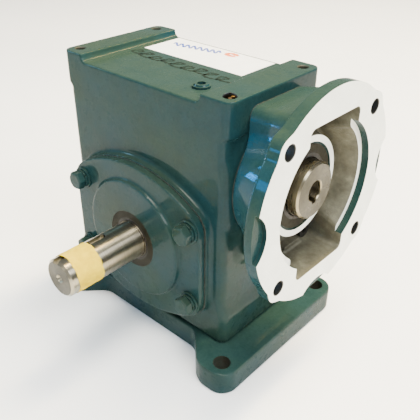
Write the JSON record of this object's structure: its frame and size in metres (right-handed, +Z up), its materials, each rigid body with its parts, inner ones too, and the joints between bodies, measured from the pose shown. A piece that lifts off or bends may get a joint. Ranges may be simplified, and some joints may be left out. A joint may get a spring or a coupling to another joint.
{
  "type": "worm gearbox",
  "caption": "Right-angle worm gear reducer: foot-mounted iron casing, flanged motor adaptor with a hollow keyed input, and one solid keyed output shaft.",
  "frame": {"origin": "centre of the foot hole pattern on the ground plane under the casing", "axes": "+X along the worm towards the motor, -Y out along the output shaft, +Z up"},
  "size_m": [0.2521, 0.224, 0.246],
  "materials": {
    "paint": "glossy enamel",
    "machined": "machined",
    "steel": "ground",
    "dark_steel": "black oxide",
    "iron": "as cast",
    "bronze": "machined",
    "rubber": "matte",
    "gasket": "pressed fibre",
    "label": "satin"
  },
  "bodies": {
    "casing": {"housing": "paint", "foot_base": "paint", "base_screws": "dark_steel", "front_cover": "paint", "rear_cover": "paint", "front_gasket": "gasket", "rear_gasket": "gasket", "front_cover_bolts": "paint", "front_lock_washers": "paint", "front_washers": "paint", "rear_cover_bolts": "paint", "rear_washers": "paint", "motor_adaptor": "paint", "adaptor_gasket": "gasket", "adaptor_screws": "dark_steel", "end_cover": "paint", "end_gasket": "gasket", "end_cover_bolts": "paint", "input_seal_case": "dark_steel", "input_seal_lip": "rubber", "input_retaining_ring": "dark_steel", "input_outer_race": "steel", "tail_outer_race": "steel", "front_cup": "steel", "rear_cup": "steel", "output_seal_case": "dark_steel", "output_seal_lip": "rubber", "fill_plug": "paint", "vent_screw": "bronze", "drain_plug": "dark_steel", "level_plug": "dark_steel", "rating_label": "label"},
    "output_set": {"output_shaft": "steel", "wheel_hub": "iron", "wheel_rim": "bronze", "rim_pins": "dark_steel", "wheel_key": "steel", "shaft_spacer": "steel", "front_cone": "steel", "rear_cone": "steel"},
    "worm_set": {"worm_shaft": "steel", "input_inner_race": "steel", "tail_inner_race": "steel", "tail_snap_ring": "dark_steel"},
    "input_ball_set": {"input_balls": "steel", "input_cage": "bronze"},
    "tail_ball_set": {"tail_balls": "steel", "tail_cage": "bronze"},
    "front_roller_set": {"front_rollers": "steel", "front_roller_cage": "bronze"},
    "rear_roller_set": {"rear_rollers": "steel", "rear_roller_cage": "bronze"}
  },
  "joints": [
    {"name": "output_spin", "type": "hinge", "parent": "casing", "child": "output_set", "pos_m": [0, 0, 0.0968], "axis": [0, 1, 0], "continuous": true},
    {"name": "worm_spin", "type": "hinge", "parent": "casing", "child": "worm_set", "pos_m": [0, 0, 0.16348], "axis": [1, 0, 0], "continuous": true},
    {"name": "input_cage_spin", "type": "hinge", "parent": "casing", "child": "input_ball_set", "pos_m": [0.092, 0, 0.16348], "axis": [1, 0, 0], "continuous": true},
    {"name": "tail_cage_spin", "type": "hinge", "parent": "casing", "child": "tail_ball_set", "pos_m": [-0.078, 0, 0.16348], "axis": [1, 0, 0], "continuous": true},
    {"name": "front_roller_spin", "type": "hinge", "parent": "casing", "child": "front_roller_set", "pos_m": [0, -0.051, 0.0968], "axis": [0, 1, 0], "continuous": true},
    {"name": "rear_roller_spin", "type": "hinge", "parent": "casing", "child": "rear_roller_set", "pos_m": [0, 0.051, 0.0968], "axis": [0, 1, 0], "continuous": true}
  ],
  "couplings": [
    {"joint": "worm_spin", "follows": "output_spin", "ratio": -20},
    {"joint": "input_cage_spin", "follows": "output_spin", "ratio": -8.5333},
    {"joint": "tail_cage_spin", "follows": "output_spin", "ratio": -7.4253},
    {"joint": "front_roller_spin", "follows": "output_spin", "ratio": 0.4323},
    {"joint": "rear_roller_spin", "follows": "output_spin", "ratio": 0.4323}
  ]
}
